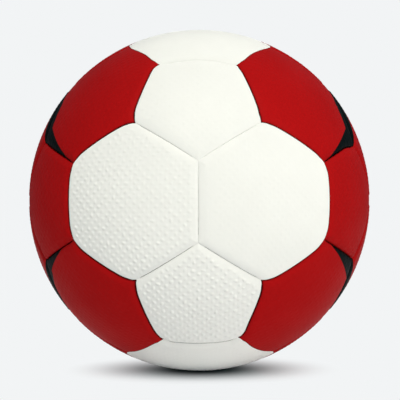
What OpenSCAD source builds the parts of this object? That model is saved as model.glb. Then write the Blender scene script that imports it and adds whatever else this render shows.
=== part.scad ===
// Hand-sewn handball: 20 hexagons and 12 pentagons with turned-in edges, sewn round a rubber bladder.
// The origin is the ball's centre, with X to the right, Y to the back and Z up.
// Each of the three axes runs through the middle of a seam between two hexagons.

/* [Ball] */
// Girth of the blown-up ball
ball_girth = 590; // [500:5:600]

/* [Panels] */
// Thickness of a panel's synthetic leather with its foam backing
skin_t = 2; // [1.4:0.1:2.2]
// Depth to which the edges are turned in, from the ball's surface
seam_allowance = 4.6; // [4.4:0.1:6]
// Thickness of a turned-in edge
flange_t = 1.4; // [0.8:0.1:2]
// Gap between the turned-in edges of two neighbours
seam_gap = 0.1; // [0.04:0.02:0.3]
// Radius of the rounding where a panel bends into its seam
edge_r = 5; // [4:0.5:8]
// Distance from the seam at which that rounding begins
edge_w = 3; // [2:0.25:3.5]

/* [Linings] */
// Thickness of the glue between a panel and its lining
glue_t = 0.2; // [0.1:0.05:0.4]
// Gap between a lining's rim and the stitches
lining_gap = 0.3; // [0.2:0.1:1]

/* [Stitches] */
// Width of the waxed thread where it lies pressed flat
thread_w = 1.2; // [1.1:0.1:1.5]
// Thickness of the thread there
thread_t = 0.5; // [0.3:0.1:0.8]
// Diameter of the two threads that share a hole
stitch_d = 0.9; // [0.7:0.1:1]
// Diameter of the punched holes
hole_d = 1.3; // [1.2:0.1:1.6]
// Distance between two holes
stitch_pitch = 5.5; // [4:0.5:7]
// Depth of the row of holes under the ball's surface
stitch_depth = 3.3; // [3:0.1:3.6]
// Length at each end of a seam that has no hole
stitch_margin = 3.5; // [3:0.25:6]
// Gap between the thread and the turned-in edge
thread_gap = 0.1; // [0.05:0.05:0.3]

/* [Bladder] */
// Thickness of the bladder's wall
bladder_t = 1; // [0.7:0.1:1.6]
// Gap between the bladder and the linings
bladder_gap = 0.3; // [0.1:0.1:0.6]

/* [Valve] */
// Diameter of the hole in the cover
cover_hole_d = 8.6; // [8.4:0.2:10]
// Diameter of the rubber neck that shows in that hole
neck_d = 8; // [7:0.2:8.2]
// Depth of the neck's face under the ball's surface
neck_sink = 0.5; // [0.2:0.1:1]
// Diameter of the disc that is bonded to the bladder's inside
disc_d = 28; // [20:1:36]
// Thickness of that disc
disc_t = 1.2; // [0.8:0.1:2]
// Gap for the bond between the valve and the bladder
bond_t = 0.1; // [0.05:0.05:0.2]
// Diameter of the stem inside the bladder
stem_d = 11; // [10.4:0.2:14]
// Radius of the rounding at the stem's end
stem_round = 2; // [1:0.25:2.5]
// Length of the valve from the neck's face to the stem's end
valve_len = 21; // [20:0.5:26]
// Diameter of the plug
plug_d = 5; // [4.6:0.1:5.2]
// Length of the plug
plug_len = 16; // [15:0.5:17]
// Diameter of the collar that locks the plug
collar_d = 7; // [6.4:0.1:7.4]
// Height of that collar
collar_h = 2; // [1:0.25:2.5]
// Gap round the plug
plug_gap = 0.05; // [0.02:0.01:0.1]
// Diameter of the air port under the plug
port_d = 3; // [2:0.25:3.5]
// Diameter of the funnel that leads the needle in
funnel_d = 4; // [3.2:0.1:4.2]
// Depth of that funnel
funnel_h = 1.5; // [0.5:0.25:2]
// Diameter of the guide hole for the needle
needle_d = 2.5; // [2.3:0.1:2.8]
// Depth of the guide hole under the funnel
needle_len = 9; // [6:0.5:10]

/* [Hidden] */
// The circle of an edge's rounding stands this proud of the ball, so that the two surfaces cross cleanly
edge_proud = 0.02;
// Every cut runs past its piece by this much
overrun = 1;
ball_fn = 180;
small_fn = 36;

// The golden ratio places the panels: pentagons on the corners of an icosahedron, hexagons on its faces
GOLDEN = (1 + sqrt(5)) / 2;
SMALL = 1 / GOLDEN;
PENTAGONS = [
    ["pent_front_upper", [0, -GOLDEN, 1], "white"],
    ["pent_front_lower", [0, -GOLDEN, -1], "white"],
    ["pent_back_upper", [0, GOLDEN, 1], "white"],
    ["pent_back_lower", [0, GOLDEN, -1], "white"],
    ["pent_top_left", [-1, 0, GOLDEN], "crimson"],
    ["pent_top_right", [1, 0, GOLDEN], "crimson"],
    ["pent_bottom_left", [-1, 0, -GOLDEN], "crimson"],
    ["pent_bottom_right", [1, 0, -GOLDEN], "crimson"],
    ["pent_left_front", [-GOLDEN, -1, 0], "crimson"],
    ["pent_left_back", [-GOLDEN, 1, 0], "crimson"],
    ["pent_right_front", [GOLDEN, -1, 0], "crimson"],
    ["pent_right_back", [GOLDEN, 1, 0], "crimson"]
];
HEXAGONS = [
    ["hex_front_left", [-SMALL, -GOLDEN, 0], "white"],
    ["hex_front_right", [SMALL, -GOLDEN, 0], "white"],
    ["hex_back_left", [-SMALL, GOLDEN, 0], "white"],
    ["hex_back_right", [SMALL, GOLDEN, 0], "white"],
    ["hex_top_front", [0, -SMALL, GOLDEN], "white"],
    ["hex_top_back", [0, SMALL, GOLDEN], "white"],
    ["hex_bottom_front", [0, -SMALL, -GOLDEN], "white"],
    ["hex_bottom_back", [0, SMALL, -GOLDEN], "white"],
    ["hex_left_upper", [-GOLDEN, 0, SMALL], "crimson"],
    ["hex_left_lower", [-GOLDEN, 0, -SMALL], "crimson"],
    ["hex_right_upper", [GOLDEN, 0, SMALL], "crimson"],
    ["hex_right_lower", [GOLDEN, 0, -SMALL], "crimson"],
    ["hex_left_upper_front", [-1, -1, 1], "crimson"],
    ["hex_left_upper_back", [-1, 1, 1], "crimson"],
    ["hex_left_lower_front", [-1, -1, -1], "crimson"],
    ["hex_left_lower_back", [-1, 1, -1], "crimson"],
    ["hex_right_upper_front", [1, -1, 1], "crimson"],
    ["hex_right_upper_back", [1, 1, 1], "crimson"],
    ["hex_right_lower_front", [1, -1, -1], "crimson"],
    ["hex_right_lower_back", [1, 1, -1], "crimson"]
];
VALVE_PANEL = "hex_back_left";
INNER_NODES = ["hexagon_linings", "pentagon_linings", "seam_thread", "bladder", "valve_housing", "valve_core"];

// Angles at the ball's centre: neighbours' middles lie nearer than the first, and the others give a panel's
// middle to the middle of its seams, and a seam's middle to its end
NEIGHBOUR_ANGLE = 50;
HEX_ANGLE = atan(SMALL / GOLDEN);
PENT_ANGLE = between(HEXAGONS[0][1], PENTAGONS[0][1]) - HEX_ANGLE;
SEAM_ANGLE = acos(cos(corner_angle(6, HEX_ANGLE)) / cos(HEX_ANGLE));

HEX_CENTRES = [for (p = HEXAGONS) p[1]];
PENT_CENTRES = [for (p = PENTAGONS) p[1]];
VALVE_AXIS = [for (p = HEXAGONS) if (p[0] == VALVE_PANEL) p[1]][0];
LAST_HEX = len(HEX_CENTRES) - 1;
// Each seam has the panel that it is drawn from, the panel across it, and the first one's angle
SEAMS = concat(
    [for (p = PENT_CENTRES) for (h = neighbours(p, HEX_CENTRES)) [p, h, PENT_ANGLE]],
    [
        for (i = [0:LAST_HEX - 1])
            for (j = [i + 1:LAST_HEX])
                if (between(HEX_CENTRES[i], HEX_CENTRES[j]) < NEIGHBOUR_ANGLE)
                    [HEX_CENTRES[i], HEX_CENTRES[j], HEX_ANGLE]
    ]
);

ball_r = ball_girth / (2 * PI);
lining_outer_r = ball_r - skin_t - glue_t;
flange_end_r = ball_r - seam_allowance;
bladder_r = flange_end_r - bladder_gap;
bladder_inner_r = bladder_r - bladder_t;

// Places in a seam's section, measured from the seam's plane
flange_inset = seam_gap / 2 + flange_t;
thread_inset = flange_inset + thread_gap + thread_t / 2;
lining_inset = thread_inset + thread_t / 2 + lining_gap;

// Centre of the edge's rounding: along the seam's normal, and out from that normal
round_centre_r = ball_r + edge_proud - edge_r;
round_x = edge_w * round_centre_r / ball_r;
round_y = sqrt(round_centre_r * round_centre_r - round_x * round_x);

stitch_r = ball_r - stitch_depth;
stitch_step = stitch_pitch / stitch_r * 180 / PI;
margin_step = stitch_margin / stitch_r * 180 / PI;
stitch_count = floor(2 * (SEAM_ANGLE - margin_step) / stitch_step) + 1;
hole_span = (stitch_count - 1) * stitch_step;
thread_span = hole_span + thread_w / stitch_r * 180 / PI;

// Heights along the valve's axis, from the ball's centre
neck_top = ball_r - neck_sink;
disc_r = bladder_inner_r - bond_t;
disc_middle = disc_r - disc_t / 2;
stem_end = neck_top - valve_len;
plug_end = neck_top - plug_len;

function unit(v) = v / norm(v);
function between(a, b) = acos(unit(a) * unit(b));
function corner_angle(sides, angle) = atan(tan(angle) / cos(180 / sides));
function neighbours(v, centres) = [for (c = centres) if (between(c, v) < NEIGHBOUR_ANGLE) c];

// Turns Z to a panel's middle and X towards the neighbour's middle
module facing(middle, neighbour) {
    z = unit(middle);
    x = unit(neighbour - (neighbour * z) * z);
    y = cross(z, x);
    multmatrix([
        [x[0], y[0], z[0], 0],
        [x[1], y[1], z[1], 0],
        [x[2], y[2], z[2], 0]
    ])
        children();
}

// Turns X to the middle of a panel's seam, Y along the seam and Z square to its plane, into the panel
module at_seam(angle) {
    rotate([0, angle - 90, 0])
        children();
}

module at_each_seam(sides, angle) {
    for (side = [0:sides - 1])
        rotate([0, 0, side * 360 / sides])
            at_seam(angle)
                children();
}

module at_each_stitch() {
    for (i = [0:stitch_count - 1])
        rotate([0, 0, i * stitch_step - hole_span / 2])
            translate([stitch_r, 0, 0])
                children();
}

// A sphere whose poles lie off the panel that it makes
module panel_sphere(r) {
    rotate([90, 0, 0])
        sphere(r = r, $fn = ball_fn);
}

// A pyramid from the ball's centre through a panel's seams, with its sides moved in
module seam_pyramid(sides, angle, inset) {
    reach = ball_r + overrun;
    translate([0, 0, inset / sin(angle)])
        rotate([0, 0, 180 / sides])
            cylinder(h = reach, r1 = 0, r2 = reach * tan(corner_angle(sides, angle)), $fn = sides);
}

// What the rounding takes off a panel's edge
module edge_rounding() {
    rotate([0, 0, -2 * SEAM_ANGLE])
        rotate_extrude(angle = 4 * SEAM_ANGLE, $fn = ball_fn)
            difference() {
                translate([round_y, -overrun])
                    square([ball_r + overrun - round_y, edge_w + overrun]);
                translate([round_y, round_x])
                    circle(r = edge_r, $fn = ball_fn);
            }
}

module stitch_holes() {
    at_each_stitch()
        translate([0, 0, -overrun])
            cylinder(h = flange_inset + 2 * overrun, d = hole_d, $fn = small_fn);
}

// One panel, dished to the ball, with rounded edges that turn in to a wall with a row of punched holes
module panel_blank(sides, angle) {
    difference() {
        intersection() {
            panel_sphere(ball_r);
            seam_pyramid(sides, angle, seam_gap / 2);
        }
        panel_sphere(flange_end_r);
        intersection() {
            panel_sphere(ball_r - skin_t);
            seam_pyramid(sides, angle, flange_inset);
        }
        at_each_seam(sides, angle)
            edge_rounding();
        at_each_seam(sides, angle)
            stitch_holes();
    }
}

module valve_passage(d) {
    cylinder(h = ball_r + overrun, d = d, $fn = small_fn);
}

module hexagon(p) {
    color(p[2])
        facing(p[1], neighbours(p[1], PENT_CENTRES)[0])
            difference() {
                panel_blank(6, HEX_ANGLE);
                if (p[0] == VALVE_PANEL)
                    valve_passage(cover_hole_d);
            }
}

module pentagon(p) {
    color(p[2])
        facing(p[1], neighbours(p[1], HEX_CENTRES)[0])
            panel_blank(5, PENT_ANGLE);
}

// Layers of cloth glued behind a panel, inside its turned-in edges
module lining(sides, angle) {
    intersection() {
        difference() {
            panel_sphere(lining_outer_r);
            panel_sphere(flange_end_r);
        }
        seam_pyramid(sides, angle, lining_inset);
    }
}

module hexagon_linings() {
    color("beige")
        for (p = HEXAGONS)
            facing(p[1], neighbours(p[1], PENT_CENTRES)[0])
                difference() {
                    lining(6, HEX_ANGLE);
                    if (p[0] == VALVE_PANEL)
                        valve_passage(cover_hole_d);
                }
}

module pentagon_linings() {
    color("beige")
        for (p = PENTAGONS)
            facing(p[1], neighbours(p[1], HEX_CENTRES)[0])
                lining(5, PENT_ANGLE);
}

// Two threads cross together through each pair of holes and lie pressed flat along both sides between them
module seam_stitches() {
    for (side = [-1, 1])
        rotate([0, 0, -thread_span / 2])
            rotate_extrude(angle = thread_span, $fn = ball_fn)
                translate([stitch_r - thread_w / 2, side * thread_inset - thread_t / 2])
                    square([thread_w, thread_t]);
    at_each_stitch()
        cylinder(h = 2 * thread_inset, d = stitch_d, center = true, $fn = small_fn);
}

module seam_thread() {
    color("ivory")
        for (seam = SEAMS)
            facing(seam[0], seam[1])
                at_seam(seam[2])
                    seam_stitches();
}

module bladder() {
    color("dimgray")
        facing(VALVE_AXIS, neighbours(VALVE_AXIS, PENT_CENTRES)[0])
            difference() {
                panel_sphere(bladder_r);
                panel_sphere(bladder_inner_r);
                valve_passage(neck_d + 2 * bond_t);
            }
}

// Moulded neck, disc and stem, with a seat for the plug and an air port under it
module valve_housing() {
    color("black")
        facing(VALVE_AXIS, neighbours(VALVE_AXIS, PENT_CENTRES)[0])
            difference() {
                union() {
                    translate([0, 0, disc_middle])
                        cylinder(h = neck_top - disc_middle, d = neck_d, $fn = small_fn);
                    intersection() {
                        difference() {
                            panel_sphere(disc_r);
                            panel_sphere(disc_r - disc_t);
                        }
                        cylinder(h = ball_r, d = disc_d, $fn = small_fn);
                    }
                    translate([0, 0, stem_end])
                        rotate_extrude($fn = small_fn)
                            stem_profile();
                }
                translate([0, 0, plug_end - plug_gap])
                    cylinder(h = plug_len + overrun, d = plug_d + 2 * plug_gap, $fn = small_fn);
                translate([0, 0, plug_end - plug_gap])
                    cylinder(h = collar_h + 2 * plug_gap, d = collar_d + 2 * plug_gap, $fn = small_fn);
                translate([0, 0, stem_end - overrun])
                    cylinder(h = valve_len, d = port_d, $fn = small_fn);
            }
}

module stem_profile() {
    stem_h = disc_middle - stem_end;
    inner_r = stem_d / 2 - stem_round;
    translate([0, stem_round])
        square([stem_d / 2, stem_h - stem_round]);
    square([inner_r, stem_h]);
    translate([inner_r, stem_round])
        circle(r = stem_round, $fn = small_fn);
}

// Soft plug with a locking collar, a funnel and a guide hole that ends in a self-closing slit
module valve_core() {
    color("gainsboro")
        facing(VALVE_AXIS, neighbours(VALVE_AXIS, PENT_CENTRES)[0])
            difference() {
                translate([0, 0, plug_end]) {
                    cylinder(h = plug_len, d = plug_d, $fn = small_fn);
                    cylinder(h = collar_h, d = collar_d, $fn = small_fn);
                }
                translate([0, 0, neck_top - funnel_h])
                    cylinder(h = funnel_h, d1 = needle_d, d2 = funnel_d, $fn = small_fn);
                translate([0, 0, neck_top - funnel_h - needle_len])
                    cylinder(h = needle_len + funnel_h, d = needle_d, $fn = small_fn);
            }
}

for (p = HEXAGONS)
    hexagon(p);
for (p = PENTAGONS)
    pentagon(p);
hexagon_linings();
pentagon_linings();
seam_thread();
bladder();
valve_housing();
valve_core();
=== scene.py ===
import math

import bmesh
import bpy
import numpy as np
from mathutils import Matrix, Vector


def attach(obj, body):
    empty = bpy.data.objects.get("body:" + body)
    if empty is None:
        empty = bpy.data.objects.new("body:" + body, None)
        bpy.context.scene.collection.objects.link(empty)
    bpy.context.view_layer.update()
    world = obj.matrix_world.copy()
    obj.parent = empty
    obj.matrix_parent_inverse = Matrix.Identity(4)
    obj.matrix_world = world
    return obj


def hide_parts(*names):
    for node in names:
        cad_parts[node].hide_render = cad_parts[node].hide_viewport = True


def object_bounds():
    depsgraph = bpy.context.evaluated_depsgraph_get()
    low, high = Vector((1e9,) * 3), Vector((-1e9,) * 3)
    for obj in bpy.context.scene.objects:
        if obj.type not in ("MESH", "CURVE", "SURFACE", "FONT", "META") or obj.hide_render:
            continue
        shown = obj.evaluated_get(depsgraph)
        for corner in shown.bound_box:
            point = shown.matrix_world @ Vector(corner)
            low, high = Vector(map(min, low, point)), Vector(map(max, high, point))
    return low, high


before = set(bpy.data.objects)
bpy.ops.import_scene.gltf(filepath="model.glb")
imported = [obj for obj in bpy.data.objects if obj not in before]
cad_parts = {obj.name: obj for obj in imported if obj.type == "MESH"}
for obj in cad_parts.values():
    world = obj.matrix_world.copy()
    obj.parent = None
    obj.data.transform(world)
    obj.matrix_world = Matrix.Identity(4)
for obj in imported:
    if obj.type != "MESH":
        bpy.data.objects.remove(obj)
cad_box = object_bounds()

bpy.ops.object.select_all(action="DESELECT")

# Camera
# It looks level at the middle of the ball, straight at the upright seam between two white
# hexagons, from five radii away, so a little of each side is hidden by perspective.
MM = 0.001
BALL_R = max(point.co.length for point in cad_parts["hex_front_left"].data.vertices)
PHOTO_PX = 400
BALL_CENTRE_PX = (199.3, 200.3)
BALL_RADIUS_PX = 170.45
CAMERA_AWAY = 5.2 * BALL_R
CAMERA_TO_RIGHT = math.radians(0.3)
CAMERA_UP = math.radians(0.4)
CAMERA_ROLL = math.radians(-0.2)
SENSOR_MM = 36
NEAREST_SEEN = 10 * MM


def way_to(turn, rise):
    """The way from the ball to a stand that is turned to the right from the front, and raised."""
    level = Vector((math.sin(turn), -math.cos(turn), 0))
    return level * math.cos(rise) + Vector((0, 0, math.sin(rise)))


camera_data = bpy.data.cameras.new("camera")
camera = bpy.data.objects.new("camera", camera_data)
bpy.context.scene.collection.objects.link(camera)
bpy.context.scene.camera = camera
camera.location = CAMERA_AWAY * way_to(CAMERA_TO_RIGHT, CAMERA_UP)
look = camera.location.to_track_quat("Z", "Y").to_matrix() @ Matrix.Rotation(CAMERA_ROLL, 3, "Z")
camera.rotation_euler = look.to_euler()
focal_px = BALL_RADIUS_PX * math.sqrt((CAMERA_AWAY / BALL_R) ** 2 - 1)
camera_data.sensor_width = SENSOR_MM
camera_data.lens = SENSOR_MM * focal_px / PHOTO_PX
camera_data.shift_x = (PHOTO_PX / 2 - BALL_CENTRE_PX[0]) / PHOTO_PX
camera_data.shift_y = (BALL_CENTRE_PX[1] - PHOTO_PX / 2) / PHOTO_PX
camera_data.clip_start = NEAREST_SEEN

# Studio
# A matt white floor takes the soft shadow under the ball, deepened by a painted shadow, and fades
# into a pale backdrop. The key lamp stands high in front, two more light the right side, a weak
# one stands low behind, and pale walls light the rest. Each lamp has its turn and rise in degrees,
# its watts and its colour.
BACKDROP = "#F2F4F5"
FLOOR_WHITE = "#F8FAFC"
# Painted shadow: the floor's grey in the oval under the ball.
PAINTED_SHADOW_GREY = "#667778"
FLOOR_R = 900 * MM
FLOOR_SIDES = 128
SHADOW_CORE = 13 * MM
SHADOW_EDGE = 79 * MM
SHADOW_OVAL = (1, 1.85, 1)
SHADOW_MIDDLE = (1 * MM, -5 * MM, 0)
WALLS = "#E4F0FC"
ROOM_LIGHT = 0.335
LAMP_AWAY = 1.25
LAMP_SIZE = 0.7
LAMPS = {
    "key_lamp": (1, 50, 7.0, "#FFFBEA"),
    "right_lamp": (40, 14, 3.8, "#FFFDF6"),
    "front_lamp": (18, 28, 2.2, "#FFFBEA"),
    "back_lamp": (180, 8, 3.5, "#FFF8E6"),
}


def linear(colour):
    """A #RRGGBB colour as Blender's linear RGBA."""
    shares = [int(colour[i : i + 2], 16) / 255 for i in (1, 3, 5)]
    return [share / 12.92 if share <= 0.04045 else ((share + 0.055) / 1.055) ** 2.4 for share in shares] + [1]


def add(tree, kind, *values, out=None, **named):
    """Adds a node. The values go to its inputs in order, lower-case names are its settings, and
    capitalised ones its inputs. Gives the output called out, or else the first."""
    made = tree.nodes.new("ShaderNode" + kind)
    for name in filter(str.islower, named):
        setattr(made, name, named[name])
    inputs = [socket for socket in made.inputs if socket.enabled]
    chosen = list(zip(inputs, values))
    for name in named:
        if not name.islower():
            label = name.replace("_", " ")
            chosen.append((next(socket for socket in inputs if socket.name == label), named[name]))
    for socket, value in chosen:
        if isinstance(value, bpy.types.NodeSocket):
            tree.links.new(value, socket)
        else:
            socket.default_value = value
    return made.outputs[out] if out else next((socket for socket in made.outputs if socket.enabled), None)


def new_tree(owner):
    """The empty node tree of a material or a world."""
    owner.use_nodes = True
    owner.node_tree.nodes.clear()
    return owner.node_tree


# The floor is board with a painted shadow: grey in an oval under the ball, on top of the lamps'
# real shadow, and white further out. Seen directly, it fades into the backdrop outside the shadow.
floor_paint = bpy.data.materials.new("board_with_painted_shadow")
tree = new_tree(floor_paint)
place = add(tree, "TexCoord", out="Object")
place = add(tree, "VectorMath", place, SHADOW_MIDDLE, operation="SUBTRACT")
oval = add(tree, "VectorMath", place, SHADOW_OVAL, operation="MULTIPLY")
reach = add(tree, "VectorMath", oval, operation="LENGTH", out="Value")
fade = add(tree, "MapRange", reach, SHADOW_CORE, SHADOW_EDGE, interpolation_type="SMOOTHSTEP")
shadow_paint = add(tree, "Mix", fade, A=linear(PAINTED_SHADOW_GREY), B=linear(FLOOR_WHITE), data_type="RGBA")
by_camera = add(tree, "LightPath", out="Is Camera Ray")
by_gloss = add(tree, "LightPath", out="Is Glossy Ray")
seen = add(tree, "Math", by_camera, by_gloss, operation="MAXIMUM")
board = add(tree, "BsdfDiffuse", shadow_paint)
glow = add(tree, "Emission", linear(BACKDROP), Strength=1.0)
amount = add(tree, "Math", fade, seen, operation="MULTIPLY")
add(tree, "OutputMaterial", add(tree, "MixShader", amount, board, glow))

bpy.ops.mesh.primitive_circle_add(vertices=FLOOR_SIDES, radius=FLOOR_R, fill_type="NGON")
floor = bpy.context.object
floor.name = "studio_floor"
floor.location.z = cad_box[0][2]
floor.data.materials.append(floor_paint)

room = bpy.data.worlds.new("room")
bpy.context.scene.world = room
tree = new_tree(room)
walls = add(tree, "Background", linear(WALLS), Strength=ROOM_LIGHT)
backdrop = add(tree, "Background", linear(BACKDROP), Strength=1.0)
by_camera = add(tree, "LightPath", out="Is Camera Ray")
add(tree, "OutputWorld", add(tree, "MixShader", by_camera, walls, backdrop))

for name, (turn, rise, power, colour) in LAMPS.items():
    lamp = bpy.data.lights.new(name, "AREA")
    lamp.shape = "DISK"
    lamp.size = LAMP_SIZE
    lamp.energy = power
    lamp.color = linear(colour)[:3]
    stand = bpy.data.objects.new(name, lamp)
    stand.location = LAMP_AWAY * way_to(math.radians(turn), math.radians(rise))
    stand.rotation_euler = stand.location.to_track_quat("Z", "Y").to_euler()
    bpy.context.scene.collection.objects.link(stand)

# Bladder
# The air is held by a round bag of butyl rubber, dip moulded in black. Its skin is dull, with a
# faint pale bloom where talc is left from the mould.
BUTYL_BLACK = "#1C1B1D"
BUTYL_BLOOM = "#3A393C"
BLOOM_SIZE = 14 * MM
RUBBER_IOR = 1.52
RUBBER_GRAIN_SHARE = 1 / 8
RUBBER_RELIEF = 0.05 * MM


def rubber(name, colour, bloom, patch, roughness):
    """Moulded rubber: an even, dull black whose surface has paler patches of bloom."""
    material = bpy.data.materials.new(name)
    tree = new_tree(material)
    place = add(tree, "TexCoord", out="Object")
    cloud = add(tree, "TexNoise", Vector=place, Scale=1 / patch, Detail=4.0)
    mixed = add(tree, "Mix", cloud, A=linear(colour), B=linear(bloom), data_type="RGBA")
    grain = add(tree, "TexNoise", Vector=place, Scale=1 / (patch * RUBBER_GRAIN_SHARE), Detail=2.0)
    relief = add(tree, "Bump", Strength=0.4, Distance=RUBBER_RELIEF, Height=grain)
    surface = add(
        tree, "BsdfPrincipled", Base_Color=mixed, Roughness=roughness, IOR=RUBBER_IOR, Normal=relief
    )
    add(tree, "OutputMaterial", surface)
    return material


def dress(node, material):
    """Gives a piece that keeps its own shape its material."""
    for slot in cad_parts[node].material_slots:
        slot.material = material


dress("bladder", rubber("butyl_rubber_bladder", BUTYL_BLACK, BUTYL_BLOOM, BLOOM_SIZE, roughness=0.62))

# Valve
# A soft butyl housing is bonded in the bladder and shows as a small round rim in the cover. A
# harder rubber plug sits in it, smoother and blacker, and a pump's needle goes through the plug.
HOUSING_BLACK = "#242326"
HOUSING_BLOOM = "#4A494C"
HOUSING_BLOOM_SIZE = 3 * MM
PLUG_BLACK = "#121214"
PLUG_BLOOM_SIZE = 2 * MM

housing_rubber = rubber("butyl_rubber_valve", HOUSING_BLACK, HOUSING_BLOOM, HOUSING_BLOOM_SIZE, roughness=0.5)
plug_rubber = rubber("hard_rubber_plug", PLUG_BLACK, BUTYL_BLOOM, PLUG_BLOOM_SIZE, roughness=0.38)
dress("valve_housing", housing_rubber)
dress("valve_core", plug_rubber)

# Linings
# Layers of plain woven polyester and cotton are glued together behind each cover panel, so the
# ball keeps its shape. The cloth is unbleached and dull, its threads cross over and under, and it is
# painted darker between them as shade.
CLOTH = "#CFC9B8"
CLOTH_PAINTED_SHADE = "#A59E8C"
CLOTH_THREAD = 0.6 * MM
CLOTH_RELIEF = 0.1 * MM

lining_cloth = bpy.data.materials.new("woven_polycotton")
tree = new_tree(lining_cloth)
place = add(tree, "TexCoord", out="Object")
threads = [
    add(tree, "TexWave", Vector=place, Scale=1 / (2 * CLOTH_THREAD), bands_direction=way)
    for way in ("X", "Y", "Z")
]
crossing = add(tree, "Math", *threads[:2], operation="MAXIMUM")
crossing = add(tree, "Math", crossing, threads[2], operation="MAXIMUM")
# Painted shade: darker where the threads lie low.
mixed = add(tree, "Mix", crossing, A=linear(CLOTH_PAINTED_SHADE), B=linear(CLOTH), data_type="RGBA")
relief = add(tree, "Bump", Strength=0.6, Distance=CLOTH_RELIEF, Height=crossing)
add(tree, "OutputMaterial", add(tree, "BsdfPrincipled", Base_Color=mixed, Roughness=0.85, Normal=relief))
dress("hexagon_linings", lining_cloth)
dress("pentagon_linings", lining_cloth)

# Seam thread
# Each seam is sewn from behind with waxed polyester twine of five plies. The plies show as fine
# slanting ribs, painted darker between them as shade, and the wax gives a soft gloss.
TWINE = "#B9B3A2"
TWINE_PAINTED_SHADE = "#7E7868"
PLY = 0.45 * MM
PLY_RELIEF = 0.08 * MM

twine = bpy.data.materials.new("waxed_polyester_twine")
tree = new_tree(twine)
place = add(tree, "TexCoord", out="Object")
plies = add(tree, "TexWave", Vector=place, Scale=1 / (2 * PLY), bands_direction="DIAGONAL", Distortion=0.4)
# Painted shade: darker in the grooves between the plies.
mixed = add(tree, "Mix", plies, A=linear(TWINE_PAINTED_SHADE), B=linear(TWINE), data_type="RGBA")
relief = add(tree, "Bump", Strength=0.5, Distance=PLY_RELIEF, Height=plies)
add(tree, "OutputMaterial", add(tree, "BsdfPrincipled", Base_Color=mixed, Roughness=0.45, Normal=relief))
dress("seam_thread", twine)

# Cover panels
# Twenty hexagons and twelve pentagons are cut from thick synthetic leather, embossed with small
# round pebbles. The air inside dishes them, and their edges roll over into the seams, where they
# are turned in and sewn.
GOLDEN = (1 + math.sqrt(5)) / 2
SIDES = {"hex": 6, "pent": 5}
WAYS = {
    "front": (0, -1, 0),
    "back": (0, 1, 0),
    "left": (-1, 0, 0),
    "right": (1, 0, 0),
    "top": (0, 0, 1),
    "upper": (0, 0, 1),
    "bottom": (0, 0, -1),
    "lower": (0, 0, -1),
}
# A panel's middle lies along the ways in its name, each with its share.
WAY_SHARES = {("pent", 2): (GOLDEN, 1), ("hex", 2): (GOLDEN, 1 / GOLDEN), ("hex", 3): (1, 1, 1)}
# White panels make one band round the ball, over the top and under the bottom.
WHITE_GROUPS = {"hex_front", "hex_back", "hex_top", "hex_bottom", "pent_front", "pent_back"}


def middle(panel):
    """The direction of a panel's middle, by the words in its name."""
    kind, *words = panel.split("_")
    shares = WAY_SHARES[kind, len(words)]
    return sum((share * Vector(WAYS[word]) for share, word in zip(shares, words)), Vector()).normalized()


panels = sorted(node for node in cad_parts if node.startswith(("hex_", "pent_")))
middles = {panel: middle(panel) for panel in panels}
HEX_ANGLE = middles["hex_front_left"].angle(middles["hex_front_right"]) / 2
PENT_ANGLE = middles["hex_front_left"].angle(middles["pent_front_upper"]) - HEX_ANGLE
ANGLES = {"hex": HEX_ANGLE, "pent": PENT_ANGLE}

# A blank is a panel before its edges are rolled. It has the gap between two panels, the depth and
# thickness of the turned-in edge, and the leather's own thickness. The grid divides its sides.
SEAM_GAP = 0.16 * MM
SEAM_DEPTH = 4.5 * MM
TURNED_IN_T = 1.3 * MM
LEATHER_T = 2 * MM
RIM_STEPS = 3
BACK_RINGS = (0.7, 0.4)
GRID = 90
FINE_GRID = 150


def corner_angle(angle, sides):
    """The angle between a panel's middle and its corners, from the angle to its sides."""
    return math.atan(math.tan(angle) / math.cos(math.pi / sides))


def drawn_in(point, share):
    """The direction of a point whose distance from +Z is drawn in to a share."""
    flat = Vector((point.x * share, point.y * share, 0))
    return (flat + Vector((0, 0, math.sqrt(point.length_squared - flat.length_squared)))).normalized()


def reshape_rim(blank, new_place):
    """Extrudes the selected rim and moves the new rim's points."""
    bpy.ops.mesh.extrude_edges_move()
    rim = bmesh.from_edit_mesh(blank.data)
    for vertex in rim.verts:
        if vertex.select:
            vertex.co = new_place(vertex.co)
    bmesh.update_edit_mesh(blank.data)


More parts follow.
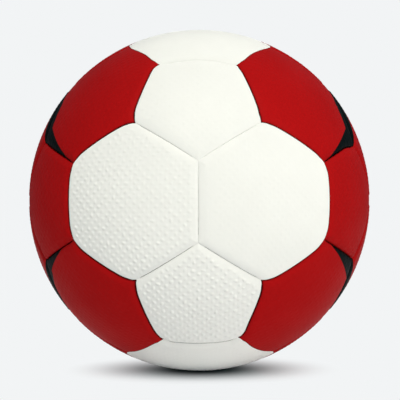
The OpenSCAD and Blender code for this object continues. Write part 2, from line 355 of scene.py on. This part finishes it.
def model_blank(sides, angle, grid):
    """One smooth panel around +Z, with a corner at half a side's turn from +X: a fan of triangles
    is divided finely, dished, and given its turned-in rim and its back."""
    angle -= SEAM_GAP / 2 / BALL_R
    corner = corner_angle(angle, sides)
    bpy.ops.mesh.primitive_circle_add(
        vertices=sides,
        radius=BALL_R * math.sin(corner),
        fill_type="TRIFAN",
        location=(0, 0, BALL_R * math.cos(corner)),
        rotation=(0, 0, math.pi / sides - math.pi / 2),
    )
    blank = bpy.context.object
    bpy.ops.object.transform_apply()
    bpy.ops.object.mode_set(mode="EDIT")
    bpy.ops.mesh.select_all(action="SELECT")
    bpy.ops.mesh.subdivide(number_cuts=grid - 1)
    bpy.ops.object.mode_set(mode="OBJECT")
    dish = blank.modifiers.new("dish", "CAST")
    dish.factor = 1
    dish.use_radius_as_size = False
    dish.size = BALL_R
    bpy.ops.object.modifier_apply(modifier=dish.name)
    bpy.ops.object.mode_set(mode="EDIT")
    bpy.ops.mesh.select_all(action="SELECT")
    bpy.ops.mesh.region_to_loop()
    for step in range(RIM_STEPS):
        depth = SEAM_DEPTH * (step + 1) / RIM_STEPS
        reshape_rim(blank, lambda point: point.normalized() * (BALL_R - depth))
    turned_in = 1 - TURNED_IN_T / (BALL_R * math.sin(angle))
    inner = BALL_R - LEATHER_T
    reshape_rim(blank, lambda point: drawn_in(point, turned_in) * (BALL_R - SEAM_DEPTH))
    reshape_rim(blank, lambda point: point.normalized() * inner)
    for share in BACK_RINGS:
        reshape_rim(blank, lambda point: drawn_in(point, share / turned_in) * inner)
    bpy.ops.mesh.edge_face_add()
    bpy.ops.mesh.poke()
    bpy.ops.object.mode_set(mode="OBJECT")
    return blank


blanks = {
    (kind, fine): model_blank(SIDES[kind], ANGLES[kind], FINE_GRID if fine else GRID)
    for kind in SIDES
    for fine in (True, False)
}

# Each kind of edge, by whether its panel and the neighbour are white: the radius and the width of
# its roll, the radius of the tuck at the seam, and the share by which the stitches pucker it.
EDGES = {
    (True, True): (10 * MM, 4.5 * MM, 0.36 * MM, 0.02),
    (True, False): (10 * MM, 1.6 * MM, 0.1 * MM, 0.04),
    (False, True): (11 * MM, 5 * MM, 0.15 * MM, 0.1),
    (False, False): (6.5 * MM, 4.3 * MM, 0.8 * MM, 0.1),
}
STITCH_PITCH = 5.5 * MM
# Red panels lie flush beside these hexagons, where the edge is rolled like a white one and the
# painted dark shade line in the seam is thinner.
FLUSH_BESIDE = ("hex_top", "hex_bottom")
FLUSH_THINNER_SHADE = 0.6 * MM
# The grid's outermost points are drawn towards the seam, so that the roll has enough of them.
ROWS_DRAWN_IN = 3 * MM
ROWS_POWER = 1.6
# Beside a red panel, a white one reaches over the pattern's line by the lap, and the red one
# stands back by the lap and the slot. The ball is a little uneven, so some laps at the front have
# a size of their own, and one white pentagon reaches over a white hexagon.
LAP = 0.4 * MM
SLOT = 0.1 * MM
LAP_REACH = 6 * MM
LAP_END = 5 * MM
LAPS = {
    frozenset(("hex_front_right", "pent_right_front")): 0.9 * MM,
    frozenset(("hex_front_right", "hex_right_upper_front")): 0.1 * MM,
    frozenset(("hex_front_right", "hex_right_lower_front")): 0.7 * MM,
    frozenset(("pent_front_upper", "hex_left_upper_front")): 0.7 * MM,
    frozenset(("pent_front_upper", "hex_right_upper_front")): -0.8 * MM,
    frozenset(("pent_front_lower", "hex_left_lower_front")): 0.2 * MM,
    frozenset(("pent_front_lower", "hex_bottom_front")): 1.8 * MM,
    frozenset(("hex_top_front", "pent_top_left")): 2.5 * MM,
    frozenset(("hex_top_front", "pent_top_right")): 2.5 * MM,
    frozenset(("hex_bottom_front", "pent_bottom_left")): 2.5 * MM,
    frozenset(("hex_bottom_front", "pent_bottom_right")): 2.5 * MM,
}
# The thread draws each sewn corner towards the white panels that meet there.
CORNER_PULL = 1.25 * MM
CORNER_REACH = 4.2 * MM
PANELS_AT_CORNER = 3
# These corners lie off the regular pattern: so far to the right, and so far up.
NUDGE_REACH = 9 * MM
NUDGES = {
    frozenset(("pent_front_lower", "hex_right_lower_front", "hex_bottom_front")): (1.7 * MM, 0.8 * MM),
    frozenset(("pent_front_upper", "hex_right_upper_front", "hex_top_front")): (0.9 * MM, -1.5 * MM),
    frozenset(("pent_front_upper", "hex_left_upper_front", "hex_top_front")): (-1.2 * MM, -1.0 * MM),
    frozenset(("hex_right_upper", "hex_right_upper_front", "pent_right_front")): (0.5 * MM, -2.2 * MM),
    frozenset(("hex_top_front", "pent_top_left", "hex_left_upper_front")): (0.3 * MM, 1.4 * MM),
    frozenset(("hex_top_front", "pent_top_right", "hex_right_upper_front")): (1.1 * MM, 0.8 * MM),
    frozenset(("hex_bottom_front", "pent_bottom_left", "hex_left_lower_front")): (-1.4 * MM, 0.4 * MM),
    frozenset(("hex_bottom_front", "pent_bottom_right", "hex_right_lower_front")): (2.2 * MM, 0.4 * MM),
}
# Panels are equally near to a place when their nearness agrees to so many digits.
EVEN_DIGITS = 6


def is_white(panel):
    """Whether a panel is in the white band round the ball."""
    return panel.rsplit("_", 1)[0] in WHITE_GROUPS


def lies_flush(panel, other):
    """Whether a red panel lies flush beside a neighbour."""
    return not is_white(panel) and other.startswith(FLUSH_BESIDE)


def nearest_first(way):
    """The panels by how near their middles lie to a direction, and the equally near by name."""
    return sorted(panels, key=lambda panel: -round(middles[panel] @ Vector(way), EVEN_DIGITS))


def unit(vectors):
    """The directions of one or more vectors."""
    return vectors / np.linalg.norm(vectors, axis=-1, keepdims=True)


def towards(start, goal):
    """The direction along the ball from one point of it to another."""
    return unit(goal - start * (start @ goal))


def smooth(low, high, values):
    """A soft step from 0 to 1 between two values."""
    share = np.clip((values - low) / (high - low), 0, 1)
    return share * share * (3 - 2 * share)


def seam_dip(away, roll, width, tuck, pucker):
    """How far a rolled and tucked edge lies under the ball's surface, at a distance from the seam."""
    rolled = roll - np.sqrt(roll**2 - np.clip(width - away, 0, width) ** 2)
    return rolled * pucker + tuck - np.sqrt(tuck**2 - np.clip(tuck - away, 0, tuck) ** 2)


def edge_shift(panel, other):
    """How far a panel's edge stands back from the pattern's line, or less than zero where it
    reaches over it."""
    white, beside_white = is_white(panel), is_white(other)
    lap = LAPS.get(frozenset((panel, other)), LAP if white != beside_white else 0)
    slot = SLOT if beside_white and not white and not lies_flush(panel, other) else 0
    reaches_over = white and (not beside_white or panel.startswith("pent_"))
    return slot - lap if reaches_over else slot + lap


def roll_edges(panel, out, rays, skin):
    """Rolls a panel's edges into its seams. Gives each point's shift along the ball, its dip under
    the ball's surface, and its distance from the seam with each neighbour."""
    kind = panel.split("_")[0]
    angle, sides = ANGLES[kind], SIDES[kind]
    half_side = BALL_R * math.asin(math.sin(math.pi / sides) * math.sin(corner_angle(angle, sides)))
    shift, dips, from_seams = np.zeros_like(rays), np.zeros(len(rays)), {}
    for other in nearest_first(out)[1 : sides + 1]:
        side = towards(out, np.array(middles[other]))
        inward = math.sin(angle) * out - math.cos(angle) * side
        away = BALL_R * np.arcsin(rays @ inward)
        drawn = ROWS_DRAWN_IN * np.clip(away / ROWS_DRAWN_IN, 0, 1) ** ROWS_POWER
        outermost = away < ROWS_DRAWN_IN
        shift += np.where(skin & outermost, (drawn - away) / BALL_R, 0)[:, None] * inward
        away = np.where(outermost, drawn, away)
        along = BALL_R * np.arcsin(rays @ np.cross(out, side))
        near = np.exp(-((away / LAP_REACH) ** 2)) * smooth(half_side, half_side - LAP_END, abs(along))
        shift += (near * edge_shift(panel, other) / BALL_R)[:, None] * inward
        edge = (True, False) if lies_flush(panel, other) else (is_white(panel), is_white(other))
        roll, width, tuck, puckered = EDGES[edge]
        pucker = 1 - puckered * np.cos(2 * math.pi * along / STITCH_PITCH)
        dips = np.maximum(dips, seam_dip(away, roll, width, tuck, pucker))
        from_seams[other] = away
    return shift, dips, from_seams


def bend_corners(kind, rays, axes):
    """How far along the ball each point moves where a corner is drawn in or lies off the pattern."""
    bend = np.zeros_like(rays)
    sides, corner = SIDES[kind], corner_angle(ANGLES[kind], SIDES[kind])
    for number in range(sides):
        spin = math.pi / sides * (2 * number + 1)
        level = math.sin(corner) * np.array((math.cos(spin), math.sin(spin), 0))
        spot = (level + np.array((0, 0, math.cos(corner)))) @ axes
        meeting = nearest_first(spot)[:PANELS_AT_CORNER]
        whites = [np.array(middles[other]) for other in meeting if is_white(other)]
        pull = CORNER_PULL * sum((towards(spot, white) for white in whites), np.zeros(3))
        away = np.linalg.norm(rays - spot, axis=1) * BALL_R
        bend += np.exp(-((away / CORNER_REACH) ** 2))[:, None] * pull / BALL_R
        if frozenset(meeting) in NUDGES:
            right_by, up_by = NUDGES[frozenset(meeting)]
            nudge = np.array((right_by, -(right_by * spot[0] + up_by * spot[2]) / spot[1], up_by))
            bend += np.exp(-((away / NUDGE_REACH) ** 2))[:, None] * nudge / BALL_R
    return bend


# Pebbles stand in slanting rows and fade out beside the seams. At the front, some panels are
# embossed deeper or shallower than the rest, and one grows smoother towards its upper right.
PEBBLE_PITCH = 3.05 * MM
PEBBLE_R = 1.05 * MM
PEBBLE_FADE = 3.2 * MM
WHITE_PEBBLE_H = 0.3 * MM
RED_PEBBLE_H = 0.12 * MM
DEEP_PEBBLE_H = {"hex_front_left": 0.36 * MM, "pent_front_lower": 0.45 * MM}
SHALLOW_PEBBLE_H = {
    "hex_front_right": 0.1 * MM,
    "pent_front_upper": 0.1 * MM,
    "hex_top_front": 0.12 * MM,
    "hex_bottom_front": 0.1 * MM,
}
SMOOTHER_UP_SHARES = {"hex_front_left": 0.2}
# The rows stray in two slow waves each, given as waves per pitch along the rising and the falling
# rows, and every pebble has its own height, scattered by a sine that is the same on each run.
PEBBLE_WANDER = 0.2 * MM
RISING_WAVES = ((0.17, 0.31), (-0.29, 0.53))
FALLING_WAVES = ((0.37, -0.13), (0.47, 0.23))
PEBBLE_UNEVEN_SHARE = 0.5
SCATTER = (12.99, 78.23)
SCATTER_SCALE = 43758.5453
PANEL_SCATTER = 40
SMALLEST_SINE = 1e-9


def turned_from(out, rays):
    """The angle of each ray from a direction."""
    return np.arccos(np.clip(rays @ out, -1, 1))


def stray(rising, falling, waves, start):
    """How far the rows stray at each point."""
    turns = 2 * math.pi / PEBBLE_PITCH
    (first_rising, first_falling), (second_rising, second_falling) = waves
    first = np.sin(turns * (first_rising * rising + first_falling * falling) + start)
    second = np.sin(turns * (second_rising * rising + second_falling * falling))
    return PEBBLE_WANDER * (first + second)


def emboss(panel, out, rays, clear):
    """How far each point lies under the pebbles' tops. They fade out where little is clear of a
    seam or the hole."""
    right = unit(np.cross((0, 0, 1), out))
    turn = turned_from(out, rays)
    stretch = BALL_R * turn / np.maximum(np.sin(turn), SMALLEST_SINE)
    rightwards, upwards = (rays @ right) * stretch, (rays @ np.cross(out, right)) * stretch
    rising, falling = (rightwards + upwards) / math.sqrt(2), (rightwards - upwards) / math.sqrt(2)
    start = PANEL_SCATTER * out.sum()
    rising, falling = (
        rising + stray(rising, falling, RISING_WAVES, start),
        falling + stray(rising, falling, FALLING_WAVES, start),
    )
    row, line = np.round(rising / PEBBLE_PITCH), np.round(falling / PEBBLE_PITCH)
    scatter = np.sin(SCATTER[0] * row + SCATTER[1] * line + start) * SCATTER_SCALE
    uneven = 1 - PEBBLE_UNEVEN_SHARE * (scatter - np.floor(scatter))
    from_top = np.hypot(rising - row * PEBBLE_PITCH, falling - line * PEBBLE_PITCH)
    shares = np.clip(1 - (from_top / PEBBLE_R) ** 2, 0, 1) * uneven * smooth(0, PEBBLE_FADE, clear)
    usual = WHITE_PEBBLE_H if is_white(panel) else RED_PEBBLE_H
    height = {**DEEP_PEBBLE_H, **SHALLOW_PEBBLE_H}.get(panel, usual)
    size = BALL_R * ANGLES[panel.split("_")[0]]
    height = height * (1 - SMOOTHER_UP_SHARES.get(panel, 0) * (rightwards + upwards) / size)
    return height * (1 - shares)


# The black print fills the corner at a red pentagon and the next printed hexagon, and narrows
# along both of their seams: an arm along the pentagon's, and a wider band along the hexagon's.
# They end sooner on the lower panels that lie towards the front and the back.
PRINT_BAND = 8 * MM
ARM_SLOPE = 0.44
BAND_SLOPE = 1.5 * ARM_SLOPE
PRINT_ARMS = (28.3 * MM, 33 * MM)
SHORT_PRINT_ARMS = {"hex_left_lower": (23 * MM, 20 * MM), "hex_right_lower": (27 * MM, 13 * MM)}


def print_depth(panel, from_seams):
    """How far inside the black print each point of a red hexagon lies."""
    arm_length, band_length = SHORT_PRINT_ARMS.get(panel.rsplit("_", 1)[0], PRINT_ARMS)
    at_side = panel.count("_") == 2
    reds = [other for other in from_seams if not is_white(other)]
    pents = [other for other in reds if other.startswith("pent_")]
    pents = [other for other in pents if other.startswith(("pent_top", "pent_bottom")) == at_side]
    hexagons = [other for other in reds if other.startswith("hex_") and other.count("_") != panel.count("_")]
    depths = []
    for pent in pents:
        for hexagon in hexagons:
            if middles[pent].angle(middles[hexagon]) < 2 * HEX_ANGLE:
                by_pent, by_hexagon = from_seams[pent], from_seams[hexagon]
                depths.append(ARM_SLOPE * (arm_length - by_hexagon) - by_pent)
                depths.append(np.minimum(PRINT_BAND, BAND_SLOPE * (band_length - by_pent)) - by_hexagon)
    return np.maximum.reduce(depths)


# The valve's hole is punched in one hexagon at the back, and its edge is pressed in a little.
VALVE_PANEL = "hex_back_left"
VALVE_HOLE_R = 4.3 * MM
VALVE_HOLE_EDGE = 0.5 * MM
PUNCH_FACETS = 96
PUNCH_LENGTH = 30 * MM


def punch_hole(piece, out):
    """Cuts the round hole of the valve."""
    bpy.ops.mesh.primitive_cylinder_add(
        vertices=PUNCH_FACETS,
        radius=VALVE_HOLE_R,
        depth=PUNCH_LENGTH,
        location=BALL_R * out,
        rotation=Vector(out).to_track_quat("Z", "Y").to_euler(),
    )
    punch = bpy.context.object
    cut = piece.modifiers.new("valve_hole", "BOOLEAN")
    cut.object = punch
    cut.operation = "DIFFERENCE"
    cut.solver = "EXACT"
    bpy.ops.object.select_all(action="DESELECT")
    bpy.context.view_layer.objects.active = piece
    piece.select_set(True)
    bpy.ops.object.modifier_apply(modifier=cut.name)
    piece.select_set(False)
    bpy.data.objects.remove(punch)


# Points no deeper than the skin lie outside, and what has no painted shade line is far away from one.
SKIN_T = 0.2 * MM
FAR_AWAY = 99.0


def mark(piece, name, depths):
    """Keeps a depth at each point of a piece, in millimetres, for its material to read."""
    attribute = piece.data.attributes.new(name, "FLOAT", "POINT")
    attribute.data.foreach_set("value", (depths / MM).astype(np.float32))


def finish_panel(panel):
    """Turns a copy of the blank to its place, rolls its edges, and embosses and prints it."""
    kind = panel.split("_")[0]
    blank = blanks[kind, panel in DEEP_PEBBLE_H]
    piece = blank.copy()
    piece.data = blank.data.copy()
    piece.name = piece.data.name = "cover_" + panel
    bpy.context.scene.collection.objects.link(piece)

    out = np.array(middles[panel])
    first = next(other for other in nearest_first(out) if not other.startswith(kind))
    sideways = towards(out, np.array(middles[first]))
    axes = np.array((sideways, np.cross(out, sideways), out))
    places = np.empty(len(piece.data.vertices) * 3)
    piece.data.vertices.foreach_get("co", places)
    places = places.reshape(-1, 3) @ axes
    radius = np.linalg.norm(places, axis=1)
    rays = unit(places)
    skin = radius > BALL_R - SKIN_T

    shift, dips, from_seams = roll_edges(panel, out, rays, skin)
    clear = np.minimum.reduce(list(from_seams.values()))
    if panel == VALVE_PANEL:
        from_hole = BALL_R * turned_from(out, rays) - VALVE_HOLE_R
        dips += VALVE_HOLE_EDGE * (1 - smooth(0, 2 * VALVE_HOLE_EDGE, from_hole))
        clear = np.minimum(clear, from_hole)
    bent = unit(rays + shift + bend_corners(kind, rays, axes))
    radius_pressed = radius - np.where(skin, dips + emboss(panel, out, rays, clear), 0)
    piece.data.vertices.foreach_set("co", (bent * radius_pressed[:, None]).ravel())

    # The distance to the painted dark shade line at the seams, for the leather's material.
    from_shaded_line = np.full(len(rays), FAR_AWAY)
    for other, away in from_seams.items():
        if is_white(panel) or is_white(other):
            from_shaded_line = np.minimum(from_shaded_line, away + (FLUSH_THINNER_SHADE if lies_flush(panel, other) else 0))
    mark(piece, "edge", np.where(skin, from_shaded_line, radius - BALL_R))
    if kind == "hex" and not is_white(panel):
        mark(piece, "ink", print_depth(panel, from_seams))
    piece.data.update()
    if panel == VALVE_PANEL:
        punch_hole(piece, out)
    return piece


# The real pores are finer than this, and are drawn as coarse as they need to be to show.
LEATHER_IOR = 1.5
MOTTLE_SIZE = 18 * MM
MOTTLE_LOW = 0.3
MOTTLE_HIGH = 0.7
GLOSS_SPREAD = 0.04
PORE_SIZE = 0.8 * MM
PORE_DEPTH = 0.04 * MM
GRAIN_SIZE = 0.5 * MM
GRAIN_DEPTH = 0.03 * MM
INK_EDGE = 0.25 * MM


def leather(name, colour, shade, shine, roughness, matt, seam_shade, seam_shade_range, ink_colour=None):
    """Synthetic leather: polyurethane foamed on cloth, embossed and lacquered. It shows a fine grain
    between the pebbles, a colour that is a little uneven, and a painted dark shade where it meets a seam."""
    material = bpy.data.materials.new(name)
    tree = new_tree(material)
    place = add(tree, "TexCoord", out="Object")
    cloud = add(tree, "TexNoise", Vector=place, Scale=1 / MOTTLE_SIZE, Detail=3.0)
    base = add(tree, "Mix", cloud, A=linear(colour), B=linear(shade), data_type="RGBA")
    if ink_colour:
        ink = add(tree, "Attribute", attribute_name="ink", out="Fac")
        inked = add(tree, "MapRange", ink, -INK_EDGE / MM, INK_EDGE / MM, interpolation_type="SMOOTHSTEP")
        base = add(tree, "Mix", inked, A=base, B=linear(ink_colour), data_type="RGBA")
    # Painted shade: the colour darkens at and in the seams, by the distance kept in the edge attribute.
    edge = add(tree, "Attribute", attribute_name="edge", out="Fac")
    dark_to, unshaded_from = seam_shade_range
    unshaded = add(tree, "MapRange", edge, dark_to / MM, unshaded_from / MM, interpolation_type="SMOOTHSTEP")
    base = add(tree, "Mix", unshaded, A=linear(seam_shade), B=base, data_type="RGBA")
    pores = add(tree, "TexVoronoi", Vector=place, Scale=1 / PORE_SIZE, feature="SMOOTH_F1", out="Distance")
    grain = add(tree, "TexNoise", Vector=place, Scale=1 / GRAIN_SIZE, Detail=3.0)
    relief = add(tree, "Bump", Strength=0.5, Distance=PORE_DEPTH, Height=pores)
    relief = add(tree, "Bump", Strength=0.5, Distance=GRAIN_DEPTH, Height=grain, Normal=relief)
    duller, glossier = roughness + GLOSS_SPREAD, roughness - GLOSS_SPREAD
    gloss = add(tree, "MapRange", cloud, MOTTLE_LOW, MOTTLE_HIGH, glossier, duller)
    surface = add(
        tree,
        "BsdfPrincipled",
        Base_Color=base,
        Roughness=gloss,
        IOR=LEATHER_IOR,
        Specular_IOR_Level=shine,
        Diffuse_Roughness=matt,
        Normal=relief,
    )
    add(tree, "OutputMaterial", surface)
    return material


# White polyurethane is full of chalky pigment. It shows an even, matt white with a faint gloss,
# and its turned-in edge inside the seam is painted dark grey as shade.
white_leather = leather(
    "white_synthetic_leather",
    colour="#F2F2F0",
    shade="#EEEEEC",
    shine=0.22,
    roughness=0.4,
    matt=1.0,
    seam_shade="#3C3634",
    seam_shade_range=(-0.9 * MM, -0.1 * MM),
)
# Red polyurethane is dyed deep and lacquered dull. It shows an even, deep red with hardly any
# shine, and a nearly black painted shadow beside a white panel. The print is black ink with a sharp edge.
RED_FINISH = {
    "colour": "#AC1012",
    "shade": "#A40F11",
    "shine": 0.02,
    "roughness": 0.52,
    "matt": 0.0,
    "seam_shade": "#300103",
    "seam_shade_range": (0.5 * MM, 1.5 * MM),
}
red_leather = leather("red_synthetic_leather", **RED_FINISH)
printed_leather = leather("red_leather_with_black_print", **RED_FINISH, ink_colour="#050F0F")

# The skin is shaded smooth, and edges that turn more than this stay sharp.
SMOOTH_BELOW = math.radians(50)
covers = []
for panel in panels:
    piece = finish_panel(panel)
    white = is_white(panel)
    if white:
        material = white_leather
    else:
        material = printed_leather if "ink" in piece.data.attributes else red_leather
    piece.data.materials.append(material)
    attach(piece, "root")
    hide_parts(panel)
    covers.append(piece)
for blank in blanks.values():
    bpy.data.objects.remove(blank)
for piece in covers:
    piece.select_set(True)
bpy.context.view_layer.objects.active = covers[0]
bpy.ops.object.shade_smooth_by_angle(angle=SMOOTH_BELOW)

bpy.context.scene.view_settings.view_transform = "Standard"
